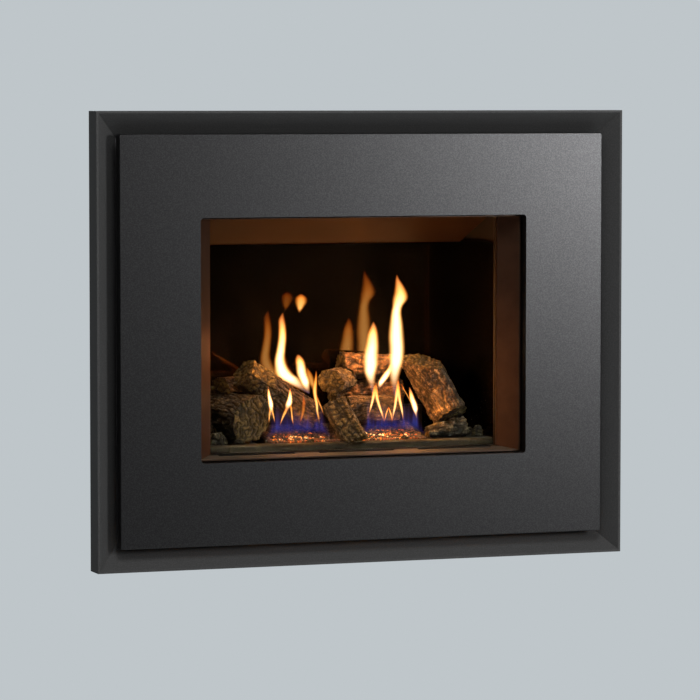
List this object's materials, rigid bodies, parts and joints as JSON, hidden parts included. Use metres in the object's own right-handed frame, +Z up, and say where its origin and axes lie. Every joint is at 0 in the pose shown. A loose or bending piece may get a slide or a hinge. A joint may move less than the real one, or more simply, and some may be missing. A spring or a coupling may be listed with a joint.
{
  "type": "inset gas fire",
  "caption": "Wall-inset gas fire with a dished rim, flat pull-off front panel, lift-out window and ceramic logs over a burner in a black glass firebox.",
  "frame": {"origin": "centre of the four wall fixings in the wall plane, level with the centre of the panel's opening", "axes": "+X to the right seen from the room, +Y into the wall, +Z up"},
  "size_m": [0.806, 0.2445, 0.654],
  "materials": {
    "graphite_coat": "metallic powder coat",
    "dark_satin": "heat-resistant satin paint",
    "clear_glass": "clear ceramic glass",
    "black_glass": "polished black",
    "rope_seal": "woven glass fibre rope",
    "zinc_steel": "zinc-coated sheet",
    "firebox_steel": "matt stove paint",
    "aluminised_steel": "aluminised sheet",
    "brass": "machined",
    "bare_pipe": "drawn tube",
    "valve_casting": "die cast",
    "bright_steel": "turned",
    "black_plastic": "fine texture",
    "button_plastic": "moulded",
    "white_ceramic": "glazed",
    "fibre_bed": "charred moulding",
    "fibre_log": "painted bark moulding"
  },
  "bodies": {
    "fire": {"rim_top_rail": "graphite_coat", "rim_bottom_rail": "graphite_coat", "rim_left_stile": "graphite_coat", "rim_right_stile": "graphite_coat", "firebox_front_frame": "dark_satin", "baffle_plate": "dark_satin", "back_liner": "black_glass", "side_liners": "black_glass", "case_left_side": "zinc_steel", "case_right_side": "zinc_steel", "case_top": "zinc_steel", "case_base": "zinc_steel", "case_back": "zinc_steel", "magnet_brackets": "zinc_steel", "firebox_supports": "zinc_steel", "control_bracket": "zinc_steel", "panel_magnets": "zinc_steel", "firebox_sides": "firebox_steel", "firebox_back": "firebox_steel", "firebox_floor": "firebox_steel", "firebox_roof": "firebox_steel", "flue_spigot": "aluminised_steel", "burner_tray": "aluminised_steel", "burner_plate": "aluminised_steel", "venturi_tube": "aluminised_steel", "pilot_bracket": "aluminised_steel", "injector": "brass", "injector_elbow": "brass", "inlet_elbow": "brass", "pilot_burner": "brass", "burner_pipe": "bare_pipe", "pilot_pipe": "bare_pipe", "gas_valve": "valve_casting", "thermocouple": "bright_steel", "igniter_body": "black_plastic", "spark_electrode": "white_ceramic", "fuel_bed_centre": "fibre_bed", "fuel_bed_sides": "fibre_bed", "ember_bed": "fibre_bed", "log_left_front": "fibre_log", "log_left_rear": "fibre_log", "log_left_top": "fibre_log", "log_centre_small": "fibre_log", "log_centre_front": "fibre_log", "log_rear_low": "fibre_log", "log_rear_top": "fibre_log", "log_right": "fibre_log", "log_right_low": "fibre_log", "log_centre_back": "fibre_log", "loose_bark": "fibre_log"},
    "panel": {"front_panel": "graphite_coat"},
    "window": {"window_frame": "dark_satin", "glass_pane": "clear_glass", "glass_clips": "dark_satin", "glass_seal": "rope_seal"},
    "spindle": {"valve_spindle": "bright_steel"},
    "knob": {"control_knob": "black_plastic"},
    "button": {"igniter_button": "button_plastic"},
    "tap": {"isolating_tap": "bright_steel"},
    "shutter": {"aeration_shutter": "aluminised_steel"}
  },
  "joints": [
    {"name": "panel_pull", "type": "slide", "parent": "fire", "child": "panel", "axis": [0, -1, 0], "range_m": [0, 0.2]},
    {"name": "window_pull", "type": "slide", "parent": "fire", "child": "window", "axis": [0, -1, 0], "range_m": [0, 0.15]},
    {"name": "knob_press", "type": "slide", "parent": "fire", "child": "spindle", "axis": [0, 1, 0], "range_m": [0, 0.004], "stiffness_N_per_m": 600, "springref_m": -0.004},
    {"name": "knob_turn", "type": "hinge", "parent": "spindle", "child": "knob", "pos_m": [-0.145, 0, -0.2345], "axis": [0, -1, 0], "range_deg": [0, 180]},
    {"name": "igniter_press", "type": "slide", "parent": "fire", "child": "button", "axis": [0, 1, 0], "range_m": [0, 0.006], "stiffness_N_per_m": 700, "springref_m": -0.004},
    {"name": "tap_turn", "type": "hinge", "parent": "fire", "child": "tap", "pos_m": [-0.215, 0.0625, -0.2345], "axis": [0, 0, -1], "range_deg": [0, 90]},
    {"name": "shutter_turn", "type": "hinge", "parent": "fire", "child": "shutter", "pos_m": [0, 0.0835, -0.2], "axis": [0, 0, 1], "range_deg": [0, 60]}
  ]
}
